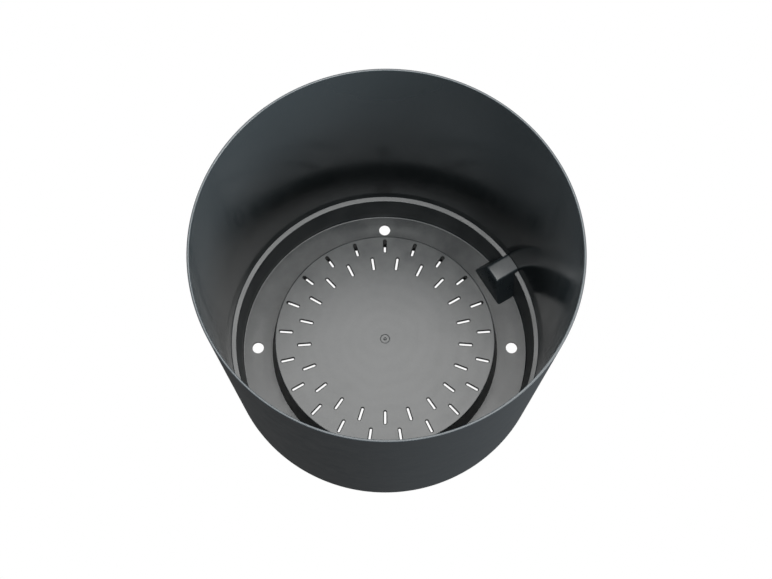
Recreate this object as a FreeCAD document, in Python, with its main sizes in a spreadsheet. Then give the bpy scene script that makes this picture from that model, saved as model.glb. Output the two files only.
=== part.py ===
import FreeCAD, Part
import math
import os

import Sketcher

# A round, tapered plastic plant pot, in millimetres. +Z is up and the origin is the centre of the
# surface that the pot stands on. The pot is four mouldings: a wall, a base pan that snaps into the
# wall's lower edge, a strainer that stands over the pan's opening, and a block hooked on the ledge.

driving_sizes = {
    # outer wall
    "rim_radius": 150.0,
    "total_height": 261.5,
    "skirt_radius": 140.5,  # outside, at the wall's lower edge
    "skirt_level": 31.0,
    "skin": 2.0,  # thickness of every moulding
    "rim_round": 0.7,
    "skirt_round": 0.6,
    # base pan
    "ledge_level": 33.5,
    "ledge_outer": 138.5,
    "ledge_inner": 134.1,
    "ledge_fall": 0.8,  # how far the ledge slopes down towards the middle
    "ledge_round": 0.8,
    "floor_outer": 130.4,
    "floor_level": 3.5,  # upper face of the floor
    "opening_radius": 100.2,
    "foot_round": 1.2,
    "snap_depth": 0.6,  # how far the pan's bead stands out
    "snap_half": 0.5,  # half the bead's height
    "snap_gap": 0.1,
    "drain_circle": 117.0,
    "drain_radius": 5.25,
    "drain_count": 4,
    # pads under the pan, which hold its floor off the ground
    "pad_width": 7.0,
    "outer_pad_inner": 123.4,
    "inner_pad_width": 3.0,
    "pad_count": 8,
    "pad_sweep": 24.0,
    # strainer
    "cap_foot_radius": 103.6,
    "cap_top_radius": 99.6,
    "cap_top_level": 31.0,
    "cap_round": 1.0,
    "seat_gap": 0.2,
    "slot_count": 21,  # in each ring
    "slot_width": 2.0,
    "slot_length": 11.8,
    "slot_flare": 0.8,  # chamfer round the top of each slot
    "outer_slots": 89.9,  # radius of the middles of the slots
    "inner_slots": 73.1,
    "mark_radius": 4.2,
    "mark_depth": 0.4,
    "pip_radius": 1.5,
    "pip_height": 0.6,
    "tab_outer": 99.8,
    "tab_thickness": 1.8,
    "tab_width": 12.0,
    "tab_drop": 1.9,  # how far the tabs reach into the opening
    "tab_overlap": 9.0,  # how far they run up inside the strainer's side
    "tab_count": 3,
    # block
    "block_bearing": 31.7,  # degrees from +X
    "block_inner_foot": 112.2,
    "block_inner_top": 114.8,
    "block_foot_width": 40.5,
    "block_top_width": 17.2,
    "block_top_level": 36.5,
    "block_round": 2.0,
    "block_gap": 0.3,
    "block_reach": 150.0,  # beyond the wall, before the back is turned away
}

document = FreeCAD.newDocument("PlantPot")
sheet = document.addObject("Spreadsheet::Sheet", "Sizes")
for row, (alias, size) in enumerate(driving_sizes.items(), start=1):
    sheet.set(f"A{row}", alias)
    sheet.set(f"B{row}", str(size))
    sheet.setAlias(f"B{row}", alias)
document.recompute()


class Size:
    """A number together with the spreadsheet formula that gives it."""

    def __init__(self, number, formula):
        self.number = number
        self.formula = formula

    @staticmethod
    def of(value):
        return value if isinstance(value, Size) else Size(float(value), str(value))

    def combine(self, other, sign, number):
        return Size(number, f"({self.formula} {sign} {other.formula})")

    def __add__(self, other):
        other = Size.of(other)
        return self.combine(other, "+", self.number + other.number)

    def __sub__(self, other):
        other = Size.of(other)
        return self.combine(other, "-", self.number - other.number)

    def __mul__(self, other):
        other = Size.of(other)
        return self.combine(other, "*", self.number * other.number)

    def __truediv__(self, other):
        other = Size.of(other)
        return self.combine(other, "/", self.number / other.number)


def cell(alias):
    return Size(driving_sizes[alias], f"Sizes.{alias}")


def origin_part(body, role):
    return next(part for part in body.Origin.OriginFeatures if part.Role == role)


def new_body(name):
    body = document.addObject("PartDesign::Body", name)
    body.Label = name
    return body


def new_sketch(body, name, plane):
    sketch = body.newObject("Sketcher::SketchObject", name)
    sketch.AttachmentSupport = [(origin_part(body, plane), "")]
    sketch.MapMode = "FlatFace"
    return sketch


def tie(sketch, kind, first, second, size):
    """Adds a dimension between two points, each (geometry, point), and binds it to the sheet."""
    index = sketch.addConstraint(Sketcher.Constraint(kind, *first, *second, size.number))
    sketch.setExpression(f"Constraints[{index}]", size.formula)


sketch_origin = (-1, 1)


def pin_point(sketch, geometry, point, across, up):
    """Fixes one point of a sketch at signed distances from its origin. None puts it on that axis."""
    for kind, axis, size in (("DistanceX", -2, across), ("DistanceY", -1, up)):
        if size is None:
            sketch.addConstraint(Sketcher.Constraint("PointOnObject", geometry, point, axis))
        elif size.number > 0:
            tie(sketch, kind, sketch_origin, (geometry, point), size)
        else:
            tie(sketch, kind, (geometry, point), sketch_origin, Size(0.0, "0") - size)


def draw_outline(sketch, corners):
    """Draws a closed outline of straight lines through corners, each (across, up)."""
    spots = [FreeCAD.Vector(*(size.number if size else 0.0 for size in corner), 0) for corner in corners]
    lines = [
        sketch.addGeometry(Part.LineSegment(start, end))
        for start, end in zip(spots, spots[1:] + spots[:1])
    ]
    for line, following in zip(lines, lines[1:] + lines[:1]):
        sketch.addConstraint(Sketcher.Constraint("Coincident", line, 2, following, 1))
    for line, (across, up) in zip(lines, corners):
        pin_point(sketch, line, 1, across, up)


def turn(body, sketch, sweep=None):
    """Turns an outline drawn on the XZ plane about the pot's axis, right round if sweep is left out."""
    feature = body.newObject("PartDesign::Revolution", f"{sketch.Name}_turned")
    feature.Profile = sketch
    feature.ReferenceAxis = (sketch, ["V_Axis"])
    if sweep is not None:
        feature.Midplane = True
        feature.setExpression("Angle", f"{sweep.formula} * 1 deg")
    document.recompute()
    return feature


def repeat_round(body, feature, count):
    pattern = body.newObject("PartDesign::PolarPattern", f"{feature.Name}_ring")
    pattern.Originals = [feature]
    pattern.Axis = (origin_part(body, "Z_Axis"), [""])
    pattern.Angle = 360
    pattern.setExpression("Occurrences", count.formula)
    body.Tip = pattern
    document.recompute()
    return pattern


def cut_through(body, sketch):
    """Cuts a sketch of the XY plane upwards through everything."""
    before = body.Shape.Volume
    pocket = body.newObject("PartDesign::Pocket", f"{sketch.Name}_cut")
    pocket.Profile = sketch
    pocket.Type = "ThroughAll"
    pocket.Reversed = True
    document.recompute()
    if body.Shape.Volume >= before:
        raise RuntimeError(f"{pocket.Name} cuts nothing")
    return pocket


def round_edges(body, radius, wanted):
    """Rounds the edges that wanted(edge) picks."""
    edges = [f"Edge{number}" for number, edge in enumerate(body.Shape.Edges, start=1) if wanted(edge)]
    if not edges:
        raise RuntimeError(f"{body.Label} has no edge to round")
    base = body.Tip
    fillet = body.newObject("PartDesign::Fillet", f"{body.Name}_round_{len(body.Group)}")
    fillet.Base = (base, edges)
    fillet.setExpression("Radius", radius.formula)
    document.recompute()
    return fillet


def flare_edges(body, size, wanted):
    """Chamfers the edges that wanted(edge) picks."""
    edges = [f"Edge{number}" for number, edge in enumerate(body.Shape.Edges, start=1) if wanted(edge)]
    if not edges:
        raise RuntimeError(f"{body.Label} has no edge to flare")
    base = body.Tip
    chamfer = body.newObject("PartDesign::Chamfer", f"{body.Name}_flare")
    chamfer.Base = (base, edges)
    chamfer.setExpression("Size", size.formula)
    document.recompute()
    return chamfer


def is_circle_at(edge, radius, level, slack=0.01):
    curve = edge.Curve
    return (
        isinstance(curve, Part.Circle)
        and abs(curve.Radius - radius.number) < slack
        and abs(curve.Center.z - level.number) < slack
    )


skin = cell("skin")
rim_radius, total_height = cell("rim_radius"), cell("total_height")
skirt_radius, skirt_level = cell("skirt_radius"), cell("skirt_level")
ledge_level, floor_level = cell("ledge_level"), cell("floor_level")
ledge_outer, ledge_inner = cell("ledge_outer"), cell("ledge_inner")
floor_outer, opening_radius = cell("floor_outer"), cell("opening_radius")
snap_level = ledge_level - skin / 2
snap_half, snap_depth, snap_gap = cell("snap_half"), cell("snap_depth"), cell("snap_gap")
wall_slope = (rim_radius - skirt_radius) / (total_height - skirt_level)


def wall_inside(level):
    """The wall's inner radius at a level."""
    return skirt_radius + wall_slope * (level - skirt_level) - skin


def build_outer_wall():
    body = new_body("outer_wall")
    sketch = new_sketch(body, "wall_section", "XZ_Plane")
    groove_half = snap_half + snap_gap
    groove_low, groove_high = snap_level - groove_half, snap_level + groove_half
    draw_outline(sketch, [
        (skirt_radius, skirt_level),
        (rim_radius, total_height),
        (rim_radius - skin, total_height),
        (wall_inside(groove_high), groove_high),
        (ledge_outer + snap_depth + snap_gap, snap_level),
        (wall_inside(groove_low), groove_low),
        (skirt_radius - skin, skirt_level),
    ])
    turn(body, sketch)
    round_edges(body, cell("rim_round"), lambda edge: (
        is_circle_at(edge, rim_radius, total_height) or is_circle_at(edge, rim_radius - skin, total_height)
    ))
    round_edges(body, cell("skirt_round"), lambda edge: is_circle_at(edge, skirt_radius, skirt_level))
    return body


def build_base_pan():
    body = new_body("base_pan")
    floor_under = floor_level - skin
    ledge_edge_level = ledge_level - cell("ledge_fall")
    sketch = new_sketch(body, "pan_section", "XZ_Plane")
    draw_outline(sketch, [
        (opening_radius, floor_under),
        (floor_outer + skin, floor_under),
        (ledge_inner + skin, ledge_level - skin),
        (ledge_outer, ledge_level - skin),
        (ledge_outer, snap_level - snap_half),
        (ledge_outer + snap_depth, snap_level),
        (ledge_outer, snap_level + snap_half),
        (ledge_outer, ledge_level),
        (ledge_inner, ledge_edge_level),
        (floor_outer, floor_level),
        (opening_radius, floor_level),
    ])
    turn(body, sketch)
    round_edges(body, cell("ledge_round"), lambda edge: is_circle_at(edge, ledge_inner, ledge_edge_level))
    round_edges(body, cell("foot_round"), lambda edge: is_circle_at(edge, floor_outer + skin, floor_under))

    pad_lines = {
        "outer_pad": (cell("outer_pad_inner"), cell("pad_width")),
        "inner_pad": (opening_radius, cell("inner_pad_width")),
    }
    for name, (inner, width) in pad_lines.items():
        section = new_sketch(body, f"{name}_section", "XZ_Plane")
        top = floor_under + skin / 2
        draw_outline(section, [(inner, None), (inner + width, None), (inner + width, top), (inner, top)])
        repeat_round(body, turn(body, section, sweep=cell("pad_sweep")), cell("pad_count"))

    drain = new_sketch(body, "drain", "XY_Plane")
    circle = drain.addGeometry(Part.Circle(FreeCAD.Vector(cell("drain_circle").number, 0, 0),
                                           FreeCAD.Vector(0, 0, 1), cell("drain_radius").number))
    pin_point(drain, circle, 3, cell("drain_circle"), None)
    radius = drain.addConstraint(Sketcher.Constraint("Radius", circle, cell("drain_radius").number))
    drain.setExpression(f"Constraints[{radius}]", cell("drain_radius").formula)
    repeat_round(body, cut_through(body, drain), cell("drain_count"))
    return body


def draw_radial_slot(sketch, middle, side):
    """Draws a round-ended slot that lies along the sketch's Y axis, on the side given as 1 or -1."""
    half_width = cell("slot_width").number / 2
    reach = (cell("slot_length") - cell("slot_width")) / 2
    near, far = middle - reach, middle + reach
    near_y, far_y = side * near.number, side * far.number
    low, high = sorted((near_y, far_y))
    z_axis = FreeCAD.Vector(0, 0, 1)
    top = sketch.addGeometry(Part.ArcOfCircle(
        Part.Circle(FreeCAD.Vector(0, high, 0), z_axis, half_width), 0, math.pi))
    bottom = sketch.addGeometry(Part.ArcOfCircle(
        Part.Circle(FreeCAD.Vector(0, low, 0), z_axis, half_width), math.pi, math.pi * 2))
    left = sketch.addGeometry(Part.LineSegment(
        FreeCAD.Vector(-half_width, high, 0), FreeCAD.Vector(-half_width, low, 0)))
    right = sketch.addGeometry(Part.LineSegment(
        FreeCAD.Vector(half_width, low, 0), FreeCAD.Vector(half_width, high, 0)))
    for first, second in ((top, left), (left, bottom), (bottom, right), (right, top)):
        sketch.addConstraint(Sketcher.Constraint("Tangent", first, 2, second, 1))
    sketch.addConstraint(Sketcher.Constraint("Equal", top, bottom))
    width = sketch.addConstraint(Sketcher.Constraint("Radius", top, half_width))
    sketch.setExpression(f"Constraints[{width}]", (cell("slot_width") / 2).formula)
    for arc, y in ((top, high), (bottom, low)):
        size = far if abs(y) == far.number else near
        pin_point(sketch, arc, 3, None, size if side > 0 else Size(0.0, "0") - size)


def build_strainer_cap():
    body = new_body("strainer_cap")
    foot_radius, top_radius = cell("cap_foot_radius"), cell("cap_top_radius")
    top_level = cell("cap_top_level")
    foot_level = floor_level + cell("seat_gap")
    mark_level = top_level - cell("mark_depth")
    pip_level = mark_level + cell("pip_height")
    sketch = new_sketch(body, "cap_section", "XZ_Plane")
    draw_outline(sketch, [
        (None, top_level - skin),
        (top_radius - skin, top_level - skin),
        (foot_radius - skin, foot_level),
        (foot_radius, foot_level),
        (top_radius, top_level),
        (cell("mark_radius"), top_level),
        (cell("mark_radius"), mark_level),
        (cell("pip_radius"), mark_level),
        (cell("pip_radius") / 2, pip_level),
        (None, pip_level),
    ])
    turn(body, sketch)
    round_edges(body, cell("cap_round"), lambda edge: is_circle_at(edge, top_radius, top_level))

    # the two rings are half a pitch apart because their count is odd and they start on opposite sides
    for name, side in (("outer_slot", 1), ("inner_slot", -1)):
        slot = new_sketch(body, name, "XY_Plane")
        draw_radial_slot(slot, cell(f"{name}s"), side)
        repeat_round(body, cut_through(body, slot), cell("slot_count"))

    half_slot = cell("slot_length").number / 2 + 1
    nearest = cell("inner_slots").number - half_slot
    farthest = cell("outer_slots").number + half_slot

    def at_slot_mouth(edge):
        spots = [vertex.Point for vertex in edge.Vertexes]
        return all(
            abs(spot.z - top_level.number) < 0.01 and nearest < math.hypot(spot.x, spot.y) < farthest
            for spot in spots)

    flare_edges(body, cell("slot_flare"), at_slot_mouth)

    # tabs that drop into the pan's opening and keep the strainer in the middle
    tab_outer, tab_inner = cell("tab_outer"), cell("tab_outer") - cell("tab_thickness")
    tab_low, tab_high = floor_level - cell("tab_drop"), floor_level + cell("tab_overlap")
    side_slope = (foot_radius - top_radius) / (top_level - foot_level)
    into_side = foot_radius - skin / 2
    rise = floor_level + cell("seat_gap") * 3
    section = new_sketch(body, "tab_section", "YZ_Plane")
    draw_outline(section, [
        (Size(0.0, "0") - tab_inner, tab_low),
        (Size(0.0, "0") - tab_outer, tab_low),
        (Size(0.0, "0") - tab_outer, rise),
        (Size(0.0, "0") - (into_side - side_slope * (rise - foot_level)), rise),
        (Size(0.0, "0") - (into_side - side_slope * (tab_high - foot_level)), tab_high),
        (Size(0.0, "0") - tab_inner, tab_high),
    ])
    tab = body.newObject("PartDesign::Pad", "tab")
    tab.Profile = section
    tab.Midplane = True
    tab.setExpression("Length", cell("tab_width").formula)
    document.recompute()
    repeat_round(body, tab, cell("tab_count"))
    return body


def add_primitive(kind, name, sizes, rotation=None, base=None):
    """Adds a Part primitive whose sizes, a dictionary of property to Size, follow the sheet."""
    item = document.addObject(kind, name)
    if rotation is not None:
        item.Placement = FreeCAD.Placement(FreeCAD.Vector(0, 0, 0), rotation)
    for name_of_size, size in sizes.items():
        item.setExpression(name_of_size, size.formula)
    if base is not None:
        item.setExpression("Placement.Base.z", base.formula)
    return item


def add_boolean(kind, name, first, second):
    item = document.addObject(kind, name)
    item.Base, item.Tool = first, second
    document.recompute()
    return item


def add_block_wedge(name, low, high, inner_low, inner_high, width_low, width_high):
    """A wedge whose two ends, low and high, are rectangles from an inner face out past the wall."""
    zero, reach = Size(0.0, "0"), cell("block_reach")
    upright = FreeCAD.Rotation(FreeCAD.Vector(1, 0, 0), 90)
    return add_primitive("Part::Wedge", name, {
        "Ymin": low, "Ymax": high,
        "Xmin": inner_low, "Xmax": reach, "X2min": inner_high, "X2max": reach,
        "Zmin": zero - width_low / 2, "Zmax": width_low / 2,
        "Z2min": zero - width_high / 2, "Z2max": width_high / 2,
    }, upright)


def build_ledge_block():
    gap = cell("block_gap")
    foot_level, top_level = floor_level + gap, cell("block_top_level")
    inner_foot, inner_top = cell("block_inner_foot"), cell("block_inner_top")
    foot_width, top_width = cell("block_foot_width"), cell("block_top_width")
    outside = add_block_wedge(
        "block_outside", foot_level, top_level, inner_foot, inner_top, foot_width, top_width)
    document.recompute()

    rounded = document.addObject("Part::Fillet", "block_rounded")
    rounded.Base = outside
    radius = cell("block_round").number

    def on_show(edge):
        """Edges of the top and of the inner face, but none at the foot or the back."""
        spots = [vertex.Point for vertex in edge.Vertexes]
        at_foot = all(abs(spot.z - foot_level.number) < 0.01 for spot in spots)
        at_back = all(abs(spot.x - cell("block_reach").number) < 0.01 for spot in spots)
        return not at_foot and not at_back

    rounded.Edges = [
        (number, radius, radius) for number, edge in enumerate(outside.Shape.Edges, start=1) if on_show(edge)
    ]

    # the hollow is open below and behind
    hollow_low, hollow_high = foot_level - skin, top_level - skin
    narrowing = (foot_width - top_width) / (top_level - foot_level)
    leaning = (inner_top - inner_foot) / (top_level - foot_level)
    hollow = add_block_wedge(
        "block_hollow", hollow_low, hollow_high,
        inner_foot - leaning * skin + skin, inner_top - leaning * skin + skin,
        foot_width + narrowing * skin - skin * 2, top_width + narrowing * skin - skin * 2)
    document.recompute()
    hood = add_boolean("Part::Cut", "block_hood", rounded, hollow)

    # the room for its back: inside the pan's step, and above the ledge inside the wall
    shelf = ledge_level + gap
    below_shelf = add_primitive("Part::Cone", "room_below", {
        "Radius1": floor_outer - gap, "Radius2": ledge_inner - gap, "Height": shelf - floor_level,
    }, base=floor_level)
    above_shelf = add_primitive("Part::Cone", "room_above", {
        "Radius1": wall_inside(shelf) - gap, "Radius2": wall_inside(top_level) - gap,
        "Height": top_level - shelf,
    }, base=shelf)
    room = add_boolean("Part::Fuse", "block_room", below_shelf, above_shelf)
    block = add_boolean("Part::Common", "ledge_block", hood, room)
    block.Label = "ledge_block"
    block.Placement = FreeCAD.Placement(
        FreeCAD.Vector(0, 0, 0), FreeCAD.Rotation(FreeCAD.Vector(0, 0, 1), cell("block_bearing").number))
    block.setExpression("Placement.Rotation.Angle", f"{cell('block_bearing').formula} * 1 deg")
    document.recompute()
    return block


def check_and_write(bodies):
    for item in document.Objects:
        if "Invalid" in item.State or "Error" in item.State:
            raise RuntimeError(f"{item.Label} failed: {item.State}")
    os.makedirs("parts", exist_ok=True)
    for body in bodies:
        shape = body.Shape
        if shape.isNull() or not shape.isValid() or len(shape.Solids) != 1:
            raise RuntimeError(f"{body.Label} isn't one valid solid")
        shape.exportStep(f"parts/{body.Label}.step")
        print(f"{body.Label}: {shape.Volume / 1000:.1f} cm3, {len(shape.Faces)} faces")


check_and_write([build_outer_wall(), build_base_pan(), build_strainer_cap(), build_ledge_block()])
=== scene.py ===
from math import atan2, cos, pi, radians, sin, tan

import bmesh
import bpy
from mathutils import Matrix, Vector


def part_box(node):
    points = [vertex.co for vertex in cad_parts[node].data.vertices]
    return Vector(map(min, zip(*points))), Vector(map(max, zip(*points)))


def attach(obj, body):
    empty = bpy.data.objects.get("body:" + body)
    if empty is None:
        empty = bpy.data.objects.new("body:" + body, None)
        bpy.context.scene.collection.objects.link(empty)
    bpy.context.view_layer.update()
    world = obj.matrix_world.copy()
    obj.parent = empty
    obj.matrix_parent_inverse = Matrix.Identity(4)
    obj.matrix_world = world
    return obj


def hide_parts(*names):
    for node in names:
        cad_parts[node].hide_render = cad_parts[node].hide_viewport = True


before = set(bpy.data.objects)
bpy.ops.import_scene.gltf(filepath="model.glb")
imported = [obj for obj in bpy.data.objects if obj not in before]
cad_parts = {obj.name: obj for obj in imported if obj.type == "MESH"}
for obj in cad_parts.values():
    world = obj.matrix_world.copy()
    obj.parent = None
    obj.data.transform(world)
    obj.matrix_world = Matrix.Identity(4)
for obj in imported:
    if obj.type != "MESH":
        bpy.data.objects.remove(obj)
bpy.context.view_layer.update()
mm = 0.001

wallLow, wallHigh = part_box("outer_wall")
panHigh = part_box("base_pan")[1]
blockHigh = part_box("ledge_block")[1]
rimRadius = round((wallHigh[0] - wallLow[0]) / 2, 4)
print("frame loaded, rim", rimRadius * 2, "m across")


class Wire:
    # an output socket that Python arithmetic works on

    def __init__(self, finish, socket):
        self.finish = finish
        self.socket = socket

    def maths(self, operation, first, second):
        return self.finish.node("ShaderNodeMath", {"operation": operation}, {0: first, 1: second})

    def __add__(self, other):
        return self.maths("ADD", self, other)

    __radd__ = __add__

    def __sub__(self, other):
        return self.maths("SUBTRACT", self, other)

    def __rsub__(self, other):
        return self.maths("SUBTRACT", other, self)

    def __mul__(self, other):
        return self.maths("MULTIPLY", self, other)

    __rmul__ = __mul__

    def __pow__(self, other):
        return self.maths("POWER", self, other)

    def __rpow__(self, other):
        return self.maths("POWER", other, self)

    def __abs__(self):
        return self.maths("ABSOLUTE", self, 0.0)

    def smaller(self, other):
        return self.maths("MINIMUM", self, other)


class Finish:
    # a material or a world, and the one way its nodes are added

    def __init__(self, owner):
        owner.use_nodes = True
        self.owner = owner
        self.tree = owner.node_tree

    def node(self, kind, settings=None, sockets=None, out=0):
        made = self.tree.nodes.new(kind)
        for key, value in (settings or {}).items():
            setattr(made, key, value)
        for key, value in (sockets or {}).items():
            self.join(made.inputs[key], value)
        return Wire(self, made.outputs[out])

    def join(self, target, value):
        if isinstance(value, Wire):
            self.tree.links.new(value.socket, target)
        else:
            target.default_value = value

    def feed(self, **sockets):
        for name, value in sockets.items():
            self.join(self.tree.nodes["Principled BSDF"].inputs[name.replace("_", " ")], value)

    def show(self, shading, output):
        self.join(self.tree.nodes[output].inputs["Surface"], shading)

    def place(self):
        return self.node("ShaderNodeTexCoord", out=3)

    def axes(self):
        split = self.node("ShaderNodeSeparateXYZ", sockets={0: self.place()})
        return [Wire(self, output) for output in split.socket.node.outputs]

    def noise(self, scale, stretch=(1, 1, 1), detail=3.0, rough=0.5):
        spread = self.node("ShaderNodeMapping", sockets={"Vector": self.place(), "Scale": stretch})
        return self.node("ShaderNodeTexNoise", None, {
            "Vector": spread, "Scale": scale, "Detail": detail, "Roughness": rough})

    def ramp(self, value, low, high, start=0.0, end=1.0):
        return self.node("ShaderNodeMapRange", {"clamp": True}, {
            "Value": value, "From Min": low, "From Max": high, "To Min": start, "To Max": end})

    def blendColours(self, amount, first, second):
        mix = self.node("ShaderNodeMix", {"data_type": "RGBA"}, {0: amount, 6: (*first, 1), 7: (*second, 1)})
        return Wire(self, mix.socket.node.outputs[2])

    def bump(self, height, distance, strength=1.0, under=None):
        sockets = {"Height": height, "Distance": distance, "Strength": strength}
        if under is not None:
            sockets["Normal"] = under
        return self.node("ShaderNodeBump", None, sockets)


def roundedOutline(corners, arcSteps=5):
    # corners are (radius, height, rounding); a rounded corner becomes an arc with a guard point each side
    points = []
    count = len(corners)
    for index, (across, up, rounding) in enumerate(corners):
        corner = Vector((across, up))
        if not rounding:
            points.append(corner)
            continue
        before = (Vector(corners[index - 1][:2]) - corner).normalized()
        after = (Vector(corners[(index + 1) % count][:2]) - corner).normalized()
        half = before.angle(after) / 2
        reach = rounding / tan(half)
        middle = corner + (before + after).normalized() * rounding / sin(half)
        start, end = corner + before * reach, corner + after * reach
        first, last = start - middle, end - middle
        turnAngle = atan2(first.x * last.y - first.y * last.x, first.dot(last))
        points.append(start + before * rounding * 0.3)
        for step in range(arcSteps + 1):
            angle = turnAngle * step / arcSteps
            points.append(middle + Vector((
                first.x * cos(angle) - first.y * sin(angle), first.x * sin(angle) + first.y * cos(angle))))
        points.append(end + after * rounding * 0.3)
    return points


def turnedMesh(name, outline, segments=288, start=0.0, sweep=2 * pi):
    # turns a closed outline about Z; a part sweep is closed with a flat face at each end
    full = sweep >= 2 * pi - 1e-6
    mesh = bmesh.new()
    turns = segments if full else segments + 1
    rings = []
    for point in outline:
        if point.x < 1e-7:
            rings.append([mesh.verts.new((0, 0, point.y))] * turns)
            continue
        rings.append([
            mesh.verts.new((point.x * cos(angle), point.x * sin(angle), point.y))
            for angle in (start + sweep * turn / segments for turn in range(turns))])
    for ring, following in zip(rings, rings[1:] + rings[:1]):
        for turn in range(segments):
            after = (turn + 1) % turns
            corners = [ring[turn], ring[after], following[after], following[turn]]
            unique = list(dict.fromkeys(corners))
            if len(unique) > 2:
                mesh.faces.new(unique)
    if not full:
        mesh.faces.new([ring[0] for ring in rings])
        mesh.faces.new([ring[-1] for ring in reversed(rings)])
    bmesh.ops.recalc_face_normals(mesh, faces=mesh.faces)
    data = bpy.data.meshes.new(name)
    mesh.to_mesh(data)
    mesh.free()
    return data


def addObject(name, data):
    made = bpy.data.objects.new(name, data)
    bpy.context.scene.collection.objects.link(made)
    return made


def settle(made, smoothAngle=32.0):
    # applies the modifiers, drops the shapes that they used and sets the shading
    tools = [modifier.object for modifier in made.modifiers if modifier.type == "BOOLEAN"]
    ready = made.evaluated_get(bpy.context.evaluated_depsgraph_get())
    data = bpy.data.meshes.new_from_object(ready)
    made.modifiers.clear()
    made.data = data
    for tool in tools:
        bpy.data.objects.remove(tool)
    data.shade_smooth()
    data.set_sharp_from_angle(angle=radians(smoothAngle))


def combine(made, tool, operation):
    modifier = made.modifiers.new(tool.name, "BOOLEAN")
    modifier.operation = operation
    modifier.solver = "EXACT"
    modifier.object = tool


def barMesh(name, length, levels, places, arcSteps=12):
    # upright round-ended bars at places (distance from the axis, bearing), each lying along its bearing
    # and half as wide at each height as levels (height, half width) say
    mesh = bmesh.new()
    ends = [(side, -pi / 2 + pi * step / arcSteps) for side in (1, -1) for step in range(arcSteps + 1)]
    for distance, bearing in places:
        turned = Matrix.Rotation(bearing, 3, "Z")
        rings = [
            [mesh.verts.new(turned @ Vector((
                distance + side * (length / 2 + half * cos(angle)), side * half * sin(angle), height)))
             for side, angle in ends]
            for height, half in levels]
        mesh.faces.new(list(reversed(rings[0])))
        mesh.faces.new(rings[-1])
        for ring, above in zip(rings, rings[1:]):
            for index in range(len(ring)):
                after = (index + 1) % len(ring)
                mesh.faces.new([ring[index], ring[after], above[after], above[index]])
    bmesh.ops.remove_doubles(mesh, verts=mesh.verts, dist=1e-7)
    bmesh.ops.recalc_face_normals(mesh, faces=mesh.faces)
    data = bpy.data.meshes.new(name)
    mesh.to_mesh(data)
    mesh.free()
    return data


def bearings(count, first=0.0):
    return [first + 2 * pi * index / count for index in range(count)]


def finishPiece(made, finishes, body, node):
    for finish in finishes:
        made.data.materials.append(finish.owner)
    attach(made, body)
    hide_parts(node)
    print("made", made.name, len(made.data.polygons), "faces")


plastic = {
    "deep": (0.005, 0.006, 0.006),
    "deepBlue": (0.030, 0.038, 0.043),
    "slate": (0.019, 0.024, 0.028),
    "slateWorn": (0.026, 0.032, 0.037),
    "floorGrey": (0.011, 0.013, 0.014),
    "floorGreyWorn": (0.042, 0.044, 0.044),
    # near black for the slot walls: painted shade
    "slotShadeDark": (0.002, 0.002, 0.002),
    "insideRoughness": 0.15,
    "outsideRoughness": 0.42,
    "floorRoughness": 0.34,
    "blockRoughness": 0.3,
    "cutRoughness": 0.7,
    "paintedShadeFullBelow": 90 * mm,  # painted shade: the inner wall is darkest up to here
    "paintedShadeEndsAbove": 190 * mm,
    "grainScale": 1400.0,  # per metre
    "grainDepth": 0.012 * mm,
}


def makePolishedPlastic():
    # the wall's inner face: the mould's core was polished, so it is glossy with faint drag marks; its colour
    # grows darker towards the bottom, which is painted shade deep in the pot
    finish = Finish(bpy.data.materials.new("polishedPlastic"))
    height = finish.axes()[2]
    clouds = finish.noise(9.0)
    dragMarks = finish.noise(260.0, stretch=(1, 1, 0.02), detail=2.0)
    scuffs = finish.noise(45.0, stretch=(1, 1, 0.25), detail=5.0, rough=0.65)
    finish.feed(
        # the base colour: painted shade that darkens down the wall, with faint mottling
        Base_Color=finish.blendColours(
            clouds * 0.2 + finish.ramp(height, plastic["paintedShadeFullBelow"], plastic["paintedShadeEndsAbove"]) * 0.8,
            plastic["deep"], plastic["deepBlue"]),
        Roughness=(finish.ramp(scuffs, 0.35, 0.75, -0.03, 0.06)
                   + finish.ramp(dragMarks, 0.3, 0.7, -0.015, 0.015) + plastic["insideRoughness"]),
        Normal=finish.bump(dragMarks, 0.02 * mm, 0.35),
    )
    return finish


def makeGrainedPlastic(name, colours, roughness, grainStrength):
    finish = Finish(bpy.data.materials.new(name))
    clouds = finish.noise(14.0)
    grain = finish.noise(plastic["grainScale"], detail=2.0)
    wear = finish.noise(60.0, detail=5.0, rough=0.7)
    finish.feed(
        Base_Color=finish.blendColours(clouds * 0.7 + wear * 0.3, *colours),
        Roughness=(finish.ramp(wear, 0.3, 0.75, -0.05, 0.06)
                   + finish.ramp(grain, 0.3, 0.7, -0.02, 0.02) + roughness),
        Normal=finish.bump(grain, plastic["grainDepth"], grainStrength),
    )
    return finish


flow = {
    "markRadius": 4.1 * mm,
    "markLine": 0.7 * mm,
    "drainCircle": 117.0 * mm,
    "veilWidth": 6.0 * mm,
    "veilGap": 6.0 * mm,  # full strength this far to each side of a drain hole
    "veilReach": 38.0 * mm,
    "stepStart": 130.6 * mm,  # painted shade: the pan darkens outwards from here, fully by stepFull
    "stepFull": 131.4 * mm,
    "stepTop": 32.6 * mm,  # and only below here, fully by stepFade
    "stepFade": 31.6 * mm,
    "rippleRate": 520.0,  # radians per metre
    "rippleWander": 9.0,
}


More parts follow.
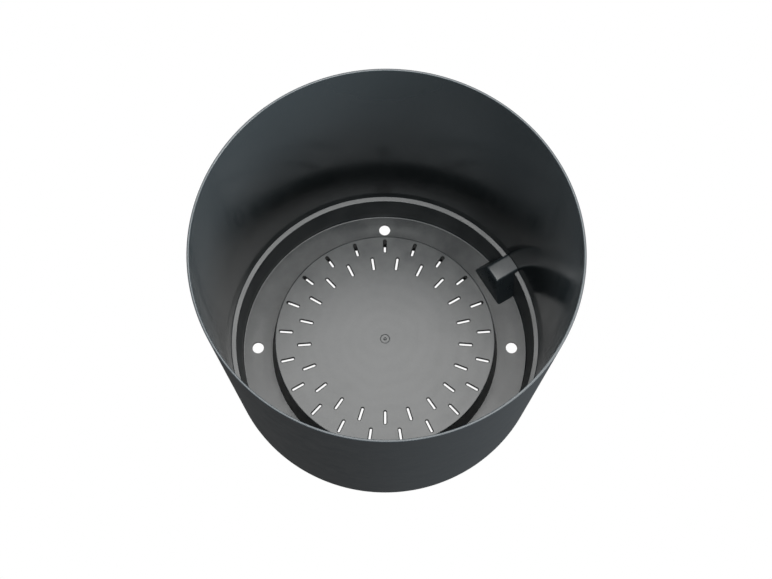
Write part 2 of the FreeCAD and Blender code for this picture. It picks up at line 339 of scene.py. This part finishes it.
def makeFloorPlastic():
    # the pan and strainer: satin and mottled, with faint rings, a pale veil either side of each drain hole,
    # painted shade on the step and a thin line of painted shade along the edge of the middle mark
    finish = Finish(bpy.data.materials.new("floorPlastic"))
    across, away, height = finish.axes()
    distance = (across * across + away * away) ** 0.5
    # a thin ring along the edge of the middle mark: its darker colour is painted shade in the crease, its
    # extra roughness is not
    markEdge = 1 - finish.ramp(abs(distance - flow["markRadius"]), 0.1 * mm, flow["markLine"])
    beside = abs(across).smaller(abs(away))
    clouds = finish.noise(38.0, detail=4.0, rough=0.6)
    bands = finish.noise(30.0, stretch=(1, 1, 0.2), detail=2.0)
    grain = finish.noise(plastic["grainScale"], detail=2.0)
    alongRing = 1 - finish.ramp(abs(distance - flow["drainCircle"]), 0.0, flow["veilWidth"])
    # inStep marks the step wall; its darkening of the colour is painted shade, its extra roughness is not
    inStep = (finish.ramp(distance, flow["stepStart"], flow["stepFull"])
              * finish.ramp(height, flow["stepTop"], flow["stepFade"]))
    veil = alongRing * (1 - finish.ramp(beside, flow["veilGap"], flow["veilReach"])) * clouds
    ripple = finish.node("ShaderNodeMath", {"operation": "SINE"}, {
        0: distance * flow["rippleRate"] + bands * flow["rippleWander"]})
    finish.feed(
        Base_Color=finish.blendColours(
            (finish.ramp(clouds, 0.36, 0.64) * 0.75 + veil * 2.4) * (1 - markEdge) * (1 - inStep * 0.4),
            plastic["floorGrey"], plastic["floorGreyWorn"]),
        Roughness=(finish.ramp(clouds, 0.3, 0.7, -0.05, 0.06) + ripple * 0.006 + veil * 0.05
                   + markEdge * 0.25 + inStep * 0.2 + plastic["floorRoughness"]),
        Normal=finish.bump(
            grain, plastic["grainDepth"], 0.5, finish.bump(ripple + clouds * 3.0, 0.01 * mm, 0.3)),
    )
    return finish


polishedPlastic = makePolishedPlastic()
outsidePlastic = makeGrainedPlastic(
    "outsidePlastic", (plastic["slate"], plastic["slateWorn"]), plastic["outsideRoughness"], 0.5)
blockPlastic = makeGrainedPlastic(
    "blockPlastic", (plastic["deep"], plastic["deepBlue"]), plastic["blockRoughness"], 0.4)
floorPlastic = makeFloorPlastic()
# the slot walls: near black, painted shade down inside the slots
slotShadePlastic = makeGrainedPlastic(
    "slotShadePlastic", (plastic["slotShadeDark"], plastic["deep"]), plastic["cutRoughness"], 0.4)
print("finishes ready")


wall = {
    "skin": 2.0 * mm,
    "skirtRadius": 140.5 * mm,
    "skirtLevel": wallLow[2],
    "rimRounding": 0.75 * mm,
    "skirtRounding": 0.6 * mm,
    "grooveLevel": 32.5 * mm,
    "grooveHalf": 0.6 * mm,
    "grooveRadius": 139.2 * mm,
}
wallTop = wallHigh[2]
wallSlope = (rimRadius - wall["skirtRadius"]) / (wallTop - wall["skirtLevel"])


def wallInside(level):
    return wall["skirtRadius"] + wallSlope * (level - wall["skirtLevel"]) - wall["skin"]


def makeWall():
    grooveLow = wall["grooveLevel"] - wall["grooveHalf"]
    grooveHigh = wall["grooveLevel"] + wall["grooveHalf"]
    outline = roundedOutline([
        (wall["skirtRadius"], wall["skirtLevel"], wall["skirtRounding"]),
        (rimRadius, wallTop, wall["rimRounding"]),
        (rimRadius - wall["skin"], wallTop, wall["rimRounding"]),
        (wallInside(grooveHigh), grooveHigh, 0),
        (wall["grooveRadius"], wall["grooveLevel"], 0),
        (wallInside(grooveLow), grooveLow, 0),
        (wall["skirtRadius"] - wall["skin"], wall["skirtLevel"], 0),
    ])
    made = addObject("wall", turnedMesh("wall", outline, 320))
    settle(made)
    for face in made.data.polygons:
        inward = face.normal.x * face.center.x + face.normal.y * face.center.y < 0
        face.material_index = 0 if inward else 1
    finishPiece(made, [polishedPlastic, outsidePlastic], "pot", "outer_wall")


makeWall()


pan = {
    "openingRadius": 100.2 * mm,
    "floorOuter": 130.4 * mm,
    "floorLevel": 3.5 * mm,
    "ledgeLevel": panHigh[2],
    "ledgeInner": 134.1 * mm,
    "ledgeOuter": 138.5 * mm,
    "ledgeFall": 0.8 * mm,
    "ledgeRounding": 0.8 * mm,
    "snapDepth": 0.6 * mm,
    "snapHalf": 0.5 * mm,
    "drainRadius": 5.25 * mm,
    "drainCount": 4,
    "drainEdge": 0.2 * mm,  # how much wider the holes are at the top
    "drainEdgeDepth": 0.3 * mm,
    "padSweep": radians(24),
    "padCount": 8,
    "padRounding": 0.3 * mm,
    "padRings": {"outerPad": (123.4 * mm, 7.0 * mm), "innerPad": (100.5 * mm, 3.0 * mm)},  # inside, width
}
floorUnder = pan["floorLevel"] - wall["skin"]


def makePan():
    snapLevel = pan["ledgeLevel"] - wall["skin"] / 2
    outline = roundedOutline([
        (pan["openingRadius"], floorUnder, 0.3 * mm),
        (pan["floorOuter"] + wall["skin"], floorUnder, 1.2 * mm),
        (pan["ledgeInner"] + wall["skin"], pan["ledgeLevel"] - wall["skin"], 0.5 * mm),
        (pan["ledgeOuter"], pan["ledgeLevel"] - wall["skin"], 0),
        (pan["ledgeOuter"], snapLevel - pan["snapHalf"], 0),
        (pan["ledgeOuter"] + pan["snapDepth"], snapLevel, 0),
        (pan["ledgeOuter"], snapLevel + pan["snapHalf"], 0),
        (pan["ledgeOuter"], pan["ledgeLevel"], 0.25 * mm),
        (pan["ledgeInner"], pan["ledgeLevel"] - pan["ledgeFall"], pan["ledgeRounding"]),
        (pan["floorOuter"], pan["floorLevel"], 1.0 * mm),
        (pan["openingRadius"], pan["floorLevel"], 0.3 * mm),
    ], 4)
    made = addObject("basePan", turnedMesh("basePan", outline))
    padTop = floorUnder + wall["skin"] / 2
    for name, (inner, width) in pan["padRings"].items():
        corners = roundedOutline([
            (inner, 0, pan["padRounding"]),
            (inner + width, 0, pan["padRounding"]),
            (inner + width, padTop, 0),
            (inner, padTop, 0),
        ], 3)
        for number, bearing in enumerate(bearings(pan["padCount"])):
            pad = turnedMesh(name, corners, 24, bearing - pan["padSweep"] / 2, pan["padSweep"])
            combine(made, addObject(f"{name}{number}", pad), "UNION")
    top, radius = pan["floorLevel"], pan["drainRadius"]
    wide = radius + pan["drainEdge"]
    drains = barMesh("drains", 0.0, [
        (-5 * mm, radius), (top - pan["drainEdgeDepth"], radius), (top, wide), (20 * mm, wide),
    ], [(flow["drainCircle"], bearing) for bearing in bearings(pan["drainCount"])], 24)
    combine(made, addObject("drains", drains), "DIFFERENCE")
    settle(made)
    for face in made.data.polygons:
        outward = face.normal.xy.dot(face.center.xy) > 0
        face.material_index = int(outward and face.center.xy.length > pan["floorOuter"])
    finishPiece(made, [floorPlastic, outsidePlastic], "pot", "base_pan")


makePan()


strainer = {
    "footRadius": 103.6 * mm,
    "topRadius": 99.6 * mm,
    "footLevel": 3.7 * mm,
    "topLevel": 31.0 * mm,
    "edgeRounding": 1.0 * mm,
    "slotCount": 21,
    "slotLength": 11.8 * mm,
    "slotWidth": 2.0 * mm,
    "slotFlare": 0.8 * mm,
    "outerSlots": 89.9 * mm,
    "innerSlots": 73.1 * mm,
    "markRadius": 4.2 * mm,
    "markDepth": 0.4 * mm,
    "pipRadius": 1.5 * mm,
    "pipHeight": 0.6 * mm,
    "tabCount": 3,
    "tabSweep": 12.0 / 99.0,
    "tabOutline": ((98.0, 1.6), (99.8, 1.6), (99.8, 4.1), (102.5, 4.1), (101.3, 12.5), (98.0, 12.5)),  # mm
}


def makeStrainer():
    top, skin = strainer["topLevel"], wall["skin"]
    markLevel = top - strainer["markDepth"]
    outline = roundedOutline([
        (0, top - skin, 0),
        (strainer["topRadius"] - skin, top - skin, 0.8 * mm),
        (strainer["footRadius"] - skin, strainer["footLevel"], 0.3 * mm),
        (strainer["footRadius"], strainer["footLevel"], 0.3 * mm),
        (strainer["topRadius"], top, strainer["edgeRounding"]),
        (strainer["markRadius"], top, 0.15 * mm),
        (strainer["markRadius"] - 0.2 * mm, markLevel, 0.1 * mm),
        (strainer["pipRadius"], markLevel, 0.1 * mm),
        (strainer["pipRadius"] / 2, markLevel + strainer["pipHeight"], 0.15 * mm),
        (0, markLevel + strainer["pipHeight"], 0),
    ], 4)
    made = addObject("strainer", turnedMesh("strainer", outline))
    quarter = pi / 2
    places = [(strainer["outerSlots"], bearing) for bearing in bearings(strainer["slotCount"], quarter)]
    places += [(strainer["innerSlots"], bearing) for bearing in bearings(strainer["slotCount"], -quarter)]
    half, flare = strainer["slotWidth"] / 2, strainer["slotFlare"]
    slots = barMesh("slots", strainer["slotLength"] - strainer["slotWidth"], [
        (top - 10 * mm, half), (top - flare, half), (top, half + flare), (top + 10 * mm, half + flare),
    ], places)
    combine(made, addObject("slots", slots), "DIFFERENCE")
    tabOutline = [Vector(point) * mm for point in strainer["tabOutline"]]
    for number, bearing in enumerate(bearings(strainer["tabCount"], -quarter)):
        tab = turnedMesh("tab", tabOutline, 8, bearing - strainer["tabSweep"] / 2, strainer["tabSweep"])
        combine(made, addObject(f"tab{number}", tab), "UNION")
    settle(made)
    # slot-wall faces take the second finish, whose near-black colour is painted shade
    slotReach = strainer["slotLength"] / 2 + flare
    for face in made.data.polygons:
        distance = face.center.xy.length
        inSlotRings = strainer["innerSlots"] - slotReach < distance < strainer["outerSlots"] + slotReach
        face.material_index = int(inSlotRings and abs(face.normal.z) < 0.9 and face.center.z > top - skin)
    finishPiece(made, [floorPlastic, slotShadePlastic], "strainer", "strainer_cap")


makeStrainer()


block = {
    "bearing": radians(31.7),
    "innerFoot": 112.2 * mm,
    "innerTop": 114.8 * mm,
    "footWidth": 40.5 * mm,
    "topWidth": 17.2 * mm,
    "footLevel": 3.8 * mm,
    "topLevel": blockHigh[2],
    "rounding": 2.0 * mm,
    "gap": 0.3 * mm,
    "reach": 150.0 * mm,
}


def wedgeMesh(name, inset, below, rounding=0.0):
    # the block's outside, or its hollow when it is inset on every side but the foot and the back
    high = block["topLevel"] - inset
    low = block["footLevel"] - below
    tall = block["topLevel"] - block["footLevel"]

    def ring(level):
        part = (level - block["footLevel"]) / tall
        inner = block["innerFoot"] + (block["innerTop"] - block["innerFoot"]) * part + inset
        half = (block["footWidth"] + (block["topWidth"] - block["footWidth"]) * part) / 2 - inset
        return [(inner, -half), (block["reach"], -half), (block["reach"], half), (inner, half)]

    mesh = bmesh.new()
    foot, head = [[mesh.verts.new((x, y, level)) for x, y in ring(level)] for level in (low, high)]
    mesh.faces.new(list(reversed(foot)))
    mesh.faces.new(head)
    for index in range(4):
        after = (index + 1) % 4
        mesh.faces.new([foot[index], foot[after], head[after], head[index]])
    if rounding:
        shown = [
            edge for edge in mesh.edges
            if max(vertex.co.z for vertex in edge.verts) > low + mm
            and min(vertex.co.x for vertex in edge.verts) < block["reach"] - mm]
        bmesh.ops.bevel(mesh, geom=shown, offset=rounding, segments=6, profile=0.5, affect="EDGES")
    bmesh.ops.transform(mesh, matrix=Matrix.Rotation(block["bearing"], 4, "Z"), verts=mesh.verts)
    bmesh.ops.recalc_face_normals(mesh, faces=mesh.faces)
    data = bpy.data.meshes.new(name)
    mesh.to_mesh(data)
    mesh.free()
    return data


def makeBlock():
    gap, shelf = block["gap"], pan["ledgeLevel"] + block["gap"]
    made = addObject("ledgeBlock", wedgeMesh("ledgeBlock", 0.0, 0.0, block["rounding"]))
    combine(made, addObject("hollow", wedgeMesh("hollow", wall["skin"], wall["skin"])), "DIFFERENCE")
    room = [
        Vector((0, pan["floorLevel"])),
        Vector((pan["floorOuter"] - gap, pan["floorLevel"])),
        Vector((pan["ledgeInner"] - gap, shelf)),
        Vector((wallInside(shelf) - gap, shelf)),
        Vector((wallInside(block["topLevel"]) - gap, block["topLevel"] + mm)),
        Vector((0, block["topLevel"] + mm)),
    ]
    combine(made, addObject("room", turnedMesh("room", room)), "INTERSECT")
    settle(made, 40.0)
    finishPiece(made, [blockPlastic], "block", "ledge_block")


makeBlock()
print("pieces ready")


stage = {
    "tableGlow": 0.14,
    "fill": 0.2,
    "fillColour": (0.93, 0.97, 1.0, 1),
    "tableReach": 6.0,  # from its middle, in metres
    "tableDrop": 0.5 * mm,
}


def addStage():
    # a white light table: it looks plain white and gives the pot only a little light from below
    floor = Finish(bpy.data.materials.new("lightTable"))
    seen = floor.node("ShaderNodeLightPath")
    white = floor.node("ShaderNodeEmission", None, {"Color": (1, 1, 1, 1), "Strength": 1.0})
    dim = floor.node("ShaderNodeEmission", None, {"Color": (1, 1, 1, 1), "Strength": stage["tableGlow"]})
    mixed = floor.node("ShaderNodeMixShader", None, {0: seen, 1: dim, 2: white})
    fromBelow = floor.node("ShaderNodeNewGeometry", out=6)
    gone = floor.node("ShaderNodeBsdfTransparent")
    oneSided = floor.node("ShaderNodeMixShader", None, {0: fromBelow, 1: mixed, 2: gone})
    floor.show(oneSided, "Material Output")
    mesh = bmesh.new()
    bmesh.ops.create_grid(mesh, x_segments=1, y_segments=1, size=stage["tableReach"])
    data = bpy.data.meshes.new("table")
    mesh.to_mesh(data)
    mesh.free()
    table = addObject("table", data)
    table.location.z = -stage["tableDrop"]
    table.data.materials.append(floor.owner)

    # the world: white behind the pot, and a dimmer fill on it
    studio = Finish(bpy.data.worlds.new("studio"))
    bpy.context.scene.world = studio.owner
    ray = studio.node("ShaderNodeLightPath")
    fill = studio.node("ShaderNodeBackground", None, {
        "Color": stage["fillColour"], "Strength": stage["fill"]})
    backdrop = studio.node("ShaderNodeBackground", None, {"Color": (1, 1, 1, 1), "Strength": 1.0})
    studio.show(studio.node("ShaderNodeMixShader", None, {0: ray, 1: fill, 2: backdrop}), "World Output")


softboxes = {
    # name: place, aim, width, depth, power, colour
    "overhead": ((0.3, 0.4, 1.7), (0.15, 0.2, 0), 1.6, 1.5, 56.0, (1.0, 1.0, 0.99)),
    "nearBox": ((-0.05, -0.74, 1.8), (0, -0.1, 0.1), 1.7, 0.7, 25.0, (0.93, 0.98, 1.0)),
    "rightBox": ((1.7, -0.6, 0.7), (0, 0, 0.1), 0.9, 1.2, 48.0, (0.96, 0.99, 1.0)),
    "backBox": ((-1.2, 1.5, 0.7), (0, 0, 0.1), 1.2, 0.9, 24.0, (0.96, 0.99, 1.0)),
}


def addLights():
    for name, (place, aim, width, depth, power, colour) in softboxes.items():
        light = bpy.data.lights.new(name, "AREA")
        light.shape = "RECTANGLE"
        light.size, light.size_y = width, depth
        light.energy = power
        light.color = colour
        made = addObject(name, light)
        made.location = place
        made.rotation_euler = (Vector(aim) - Vector(place)).to_track_quat("-Z", "Y").to_euler()


view = {
    "place": (-0.0478, -2.532, 6.514),  # in rim radii from the middle of the rim
    "pitch": 70.52,  # degrees below level
    "turn": -1.09,
    "tilt": 1.03,
    "lens": 65.2,
}


def addCamera():
    rimMiddle = Vector((0, 0, wallTop))
    camera = bpy.data.cameras.new("camera")
    camera.lens = view["lens"]
    camera.sensor_width = 36.0
    camera.clip_start = 0.01
    made = addObject("camera", camera)
    looking = Matrix.Rotation(radians(90 - view["pitch"]), 4, "X")
    turned = Matrix.Rotation(radians(view["turn"]), 4, "Z")
    tilted = Matrix.Rotation(radians(view["tilt"]), 4, "Z")
    made.matrix_world = (
        Matrix.Translation(rimMiddle + Vector(view["place"]) * rimRadius) @ turned @ looking @ tilted)
    bpy.context.scene.camera = made


addStage()
addLights()
addCamera()
bpy.context.scene.view_settings.view_transform = "Standard"
print("stage ready")
